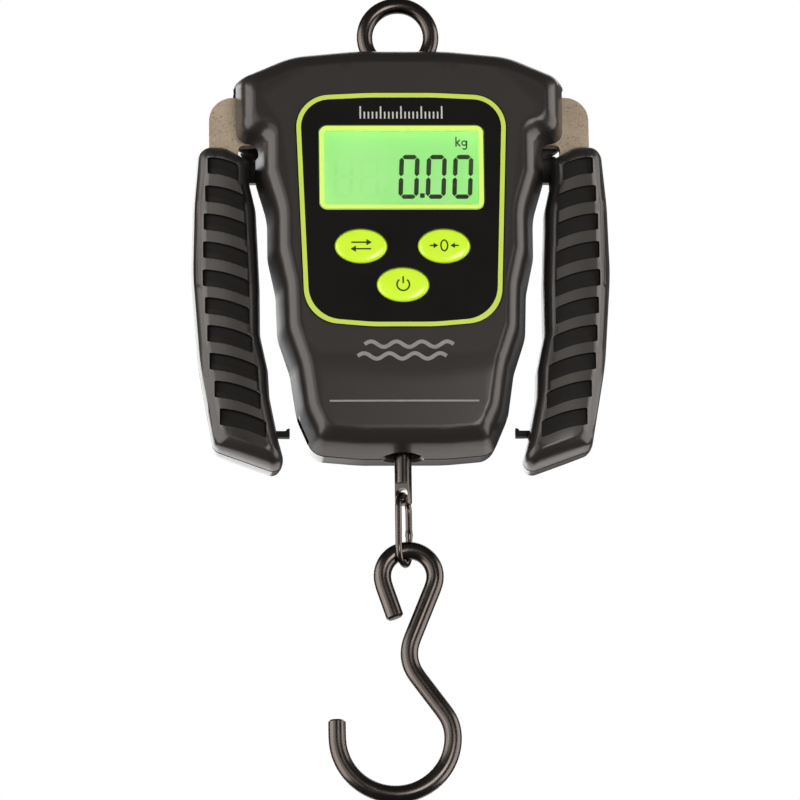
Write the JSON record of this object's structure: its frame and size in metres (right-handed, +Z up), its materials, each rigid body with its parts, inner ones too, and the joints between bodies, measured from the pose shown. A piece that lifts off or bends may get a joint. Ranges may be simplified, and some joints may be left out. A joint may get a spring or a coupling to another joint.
{
  "type": "digital fish scale",
  "caption": "Hand-held digital hanging scale: tapered two-part housing with lit display and keys, top eye, fold-out side grips, and a swivelling shaft with link and S-hook.",
  "frame": {"origin": "centre of the hanging eye, in the middle plane of the arms and the hook", "axes": "+Z up along the line from hook to eye, front with the display towards -Y, +X to the right seen from the front"},
  "size_m": [0.1182, 0.0309, 0.2334],
  "materials": {
    "housing_plastic": "satin dark warm grey",
    "panel_black": "gloss black",
    "lime_plastic": "semi-gloss lime",
    "clear_plastic": "clear",
    "lcd_green": "back-lit green",
    "white_plastic": "diffuse white",
    "board_green": "solder mask",
    "black_plastic": "fine matt",
    "black_rubber": "matt",
    "arm_metal": "champagne, speckled cast surface",
    "frame_steel": "plain",
    "gunmetal": "polished black nickel",
    "cell_aluminium": "machined",
    "spring_steel": "nickel plated",
    "battery_jacket": "printed film",
    "screw_zinc": "dark zinc"
  },
  "bodies": {
    "housing": {"front_shell": "housing_plastic", "rear_shell": "housing_plastic", "face_panel": "panel_black", "display_bezel": "lime_plastic", "display_lens": "clear_plastic", "lcd_panel": "lcd_green", "backlight_panel": "white_plastic", "lcd_connector": "black_rubber", "gauge_cable": "black_rubber", "circuit_board": "board_green", "strain_gauge": "board_green", "controller_chip": "black_plastic", "switch_unit": "black_plastic", "switch_tare": "black_plastic", "switch_power": "black_plastic", "battery_tray": "black_plastic", "battery_1": "battery_jacket", "battery_2": "battery_jacket", "battery_spring_1": "spring_steel", "battery_spring_2": "spring_steel", "battery_contact_1": "spring_steel", "battery_contact_2": "spring_steel", "thrust_washer": "spring_steel", "frame_plate_front": "frame_steel", "frame_plate_rear": "frame_steel", "left_pivot_pin": "frame_steel", "right_pivot_pin": "frame_steel", "eye_pin": "frame_steel", "load_cell_pin": "frame_steel", "yoke_pin": "frame_steel", "swivel_yoke": "frame_steel", "hanging_eye": "gunmetal", "load_cell": "cell_aluminium", "housing_screw_1": "screw_zinc", "housing_screw_2": "screw_zinc", "housing_screw_3": "screw_zinc", "housing_screw_4": "screw_zinc", "housing_screw_5": "screw_zinc", "housing_screw_6": "screw_zinc"},
    "left_handle": {"left_arm": "arm_metal", "left_grip_front": "housing_plastic", "left_grip_rear": "housing_plastic", "left_catch": "black_plastic", "left_grip_screw_1": "screw_zinc", "left_grip_screw_2": "screw_zinc"},
    "right_handle": {"right_arm": "arm_metal", "right_grip_front": "housing_plastic", "right_grip_rear": "housing_plastic", "right_catch": "black_plastic", "right_grip_screw_1": "screw_zinc", "right_grip_screw_2": "screw_zinc"},
    "key_unit": {"button_unit": "lime_plastic"},
    "key_tare": {"button_tare": "lime_plastic"},
    "key_power": {"button_power": "lime_plastic"},
    "shaft": {"hook_shaft": "gunmetal", "shaft_nut": "frame_steel"},
    "link": {"chain_link": "gunmetal"},
    "hook": {"s_hook": "gunmetal"},
    "cover": {"battery_cover": "housing_plastic"}
  },
  "joints": [
    {"name": "left_handle_fold", "type": "hinge", "parent": "housing", "child": "left_handle", "pos_m": [-0.0426, 0, -0.0276], "axis": [0, 1, 0], "range_deg": [-3.4, 92]},
    {"name": "right_handle_fold", "type": "hinge", "parent": "housing", "child": "right_handle", "pos_m": [0.0426, 0, -0.0276], "axis": [0, -1, 0], "range_deg": [-3.4, 92]},
    {"name": "unit_key_press", "type": "slide", "parent": "housing", "child": "key_unit", "axis": [0, 1, 0], "range_m": [0, 0.0006], "stiffness_N_per_m": 1500},
    {"name": "tare_key_press", "type": "slide", "parent": "housing", "child": "key_tare", "axis": [0, 1, 0], "range_m": [0, 0.0006], "stiffness_N_per_m": 1500},
    {"name": "power_key_press", "type": "slide", "parent": "housing", "child": "key_power", "axis": [0, 1, 0], "range_m": [0, 0.0006], "stiffness_N_per_m": 1500},
    {"name": "shaft_swivel", "type": "hinge", "parent": "housing", "child": "shaft", "pos_m": [0, 0, -0.1228], "axis": [0, 0, 1], "continuous": true},
    {"name": "link_swing", "type": "hinge", "parent": "shaft", "child": "link", "pos_m": [0, 0, -0.1336], "axis": [0.3746, 0.9272, 0], "range_deg": [-60, 60]},
    {"name": "hook_swing", "type": "hinge", "parent": "link", "child": "hook", "pos_m": [0.0012, 0, -0.1493], "axis": [1, 0, 0], "range_deg": [-18, 40]},
    {"name": "cover_lift_off", "type": "slide", "parent": "housing", "child": "cover", "axis": [0, 1, 0], "range_m": [0, 0.03]}
  ]
}
